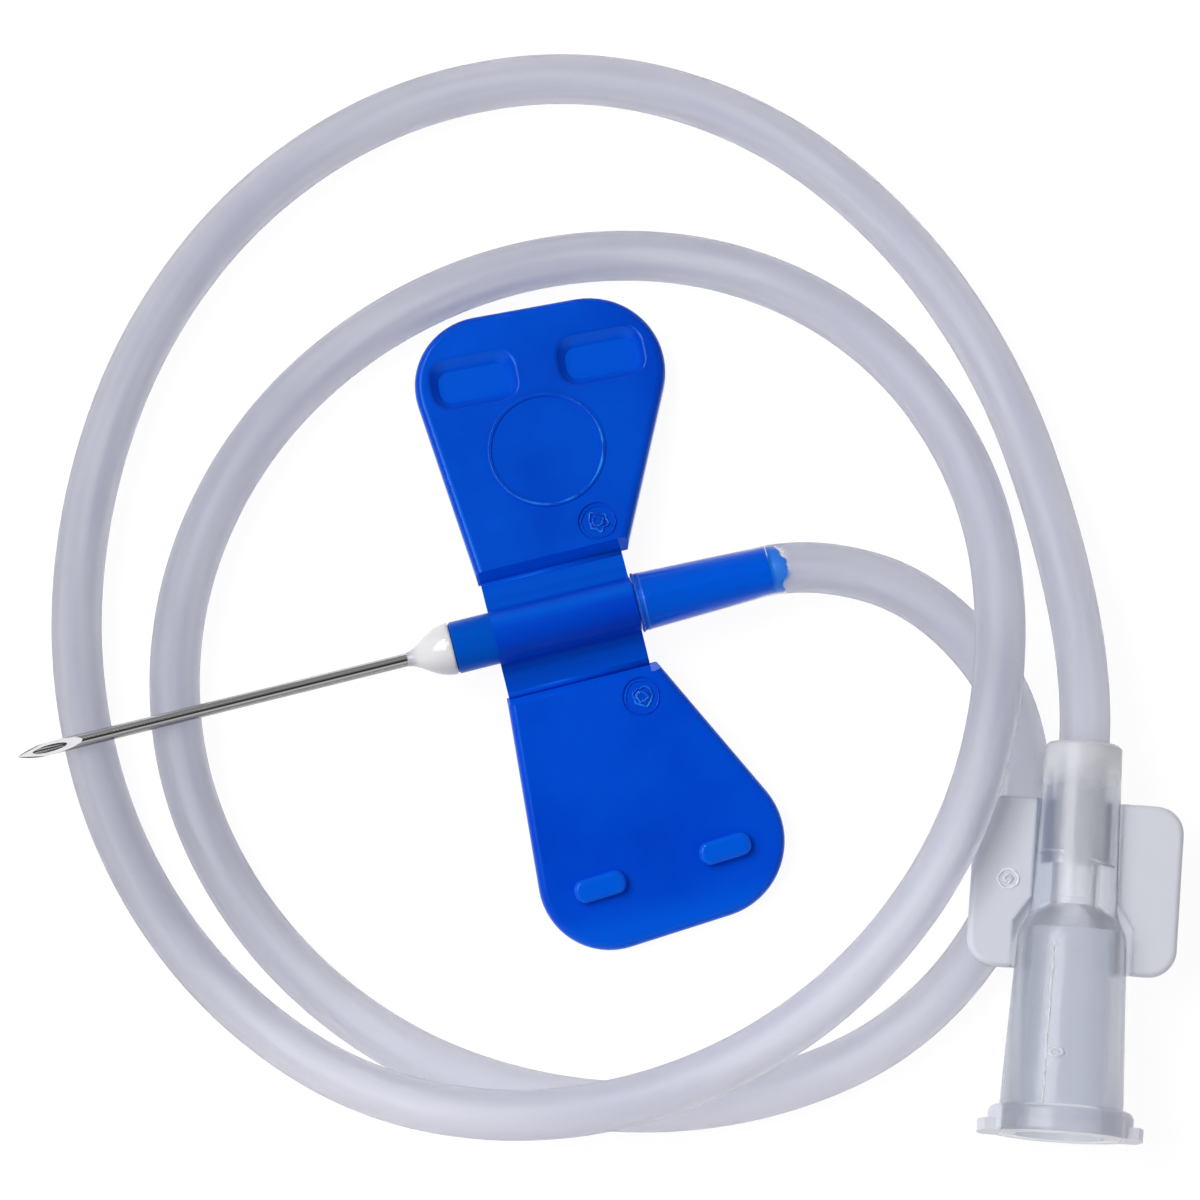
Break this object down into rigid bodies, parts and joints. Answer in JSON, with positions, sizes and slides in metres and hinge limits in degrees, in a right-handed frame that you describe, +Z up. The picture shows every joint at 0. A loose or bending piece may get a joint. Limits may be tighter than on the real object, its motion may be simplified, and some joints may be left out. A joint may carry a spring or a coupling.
{
  "type": "butterfly needle",
  "caption": "Winged steel needle with folding blue wings, soft clear tubing in two loose loops and a female luer connector with finger grips.",
  "frame": {"origin": "on the floor under the middle of the needle, hub and wings", "axes": "+X along the needle from its tip to the hub, +Y towards the wing with the sockets, +Z up"},
  "size_m": [0.0527, 0.0584, 0.0069],
  "materials": {
    "needle_steel": "ground steel",
    "white_adhesive": "glossy cured adhesive",
    "hub_blue": "smooth translucent blue",
    "wing_blue": "soft satin blue",
    "tubing_clear": "frosted translucent",
    "bond_blue": "ragged translucent adhesive",
    "luer_clear": "clear moulded plastic"
  },
  "bodies": {
    "needle_set": {"needle": "needle_steel", "needle_adhesive": "white_adhesive", "hub": "hub_blue", "wing_sleeve": "wing_blue", "tubing": "tubing_clear", "tubing_bond": "bond_blue", "luer_connector": "luer_clear"},
    "socket_wing": {"wing_sockets": "wing_blue"},
    "peg_wing": {"wing_pegs": "wing_blue"}
  },
  "joints": [
    {"name": "socket_wing_fold", "type": "hinge", "parent": "needle_set", "child": "socket_wing", "pos_m": [0.00838, 0.00265, 0.00166], "axis": [1, 0, 0], "range_deg": [-8, 104], "stiffness_Nm_per_rad": 0.002},
    {"name": "peg_wing_fold", "type": "hinge", "parent": "needle_set", "child": "peg_wing", "pos_m": [0.00838, -0.00265, 0.00166], "axis": [-1, 0, 0], "range_deg": [-8, 104], "stiffness_Nm_per_rad": 0.002}
  ]
}
